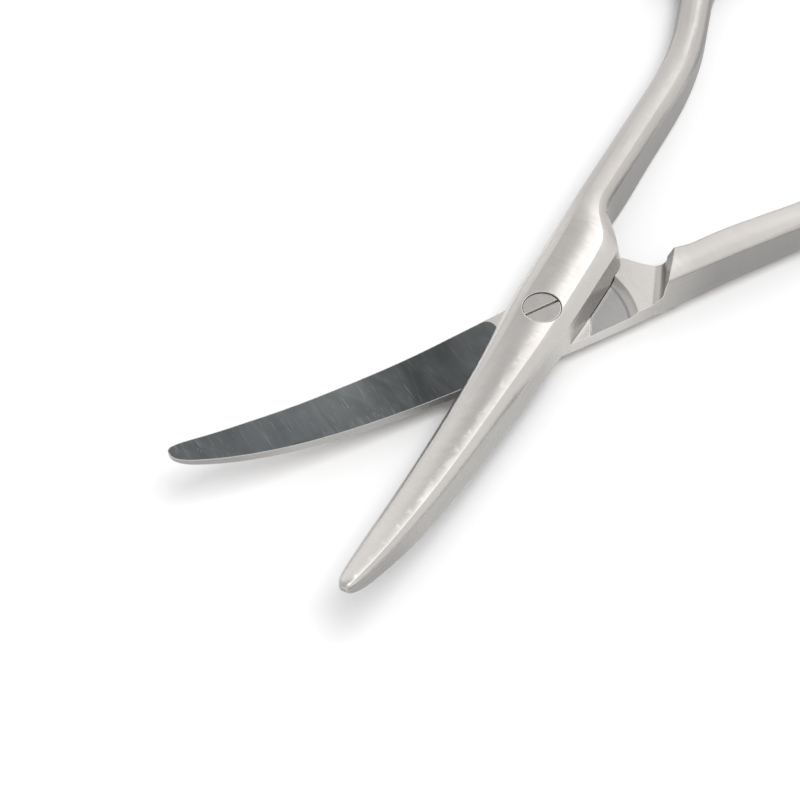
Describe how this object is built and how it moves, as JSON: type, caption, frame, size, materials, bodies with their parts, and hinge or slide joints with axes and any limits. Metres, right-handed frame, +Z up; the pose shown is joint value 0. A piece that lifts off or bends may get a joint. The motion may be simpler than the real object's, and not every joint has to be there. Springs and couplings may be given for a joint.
{
  "type": "dissecting scissors",
  "caption": "Curved dissecting scissors with two forged steel halves, blunt upturned blades, slotted joint screw and oval finger rings, shown half open.",
  "frame": {"origin": "on the screw axis, in the plane on which the scissors lie, in the middle of the screw's ground end", "axes": "+X along the bisector of the two blades towards the tips, +Y to the left of it, +Z up along the screw axis, out of the screw head"},
  "size_m": [0.1609, 0.1156, 0.0137],
  "materials": {
    "lower_steel": "satin brushed stainless steel, inner blade face ground and polished",
    "upper_steel": "satin brushed stainless steel, blurred highlight along the dome",
    "screw_steel": "fine turned stainless steel with a sawn slot"
  },
  "bodies": {
    "lower": {"lower_half": "lower_steel", "joint_screw": "screw_steel"},
    "upper": {"upper_half": "upper_steel"}
  },
  "joints": [
    {"name": "blade_hinge", "type": "hinge", "parent": "lower", "child": "upper", "pos_m": [0, 0, 0.00425], "axis": [0, 0, 1], "range_deg": [-31, 100]}
  ]
}
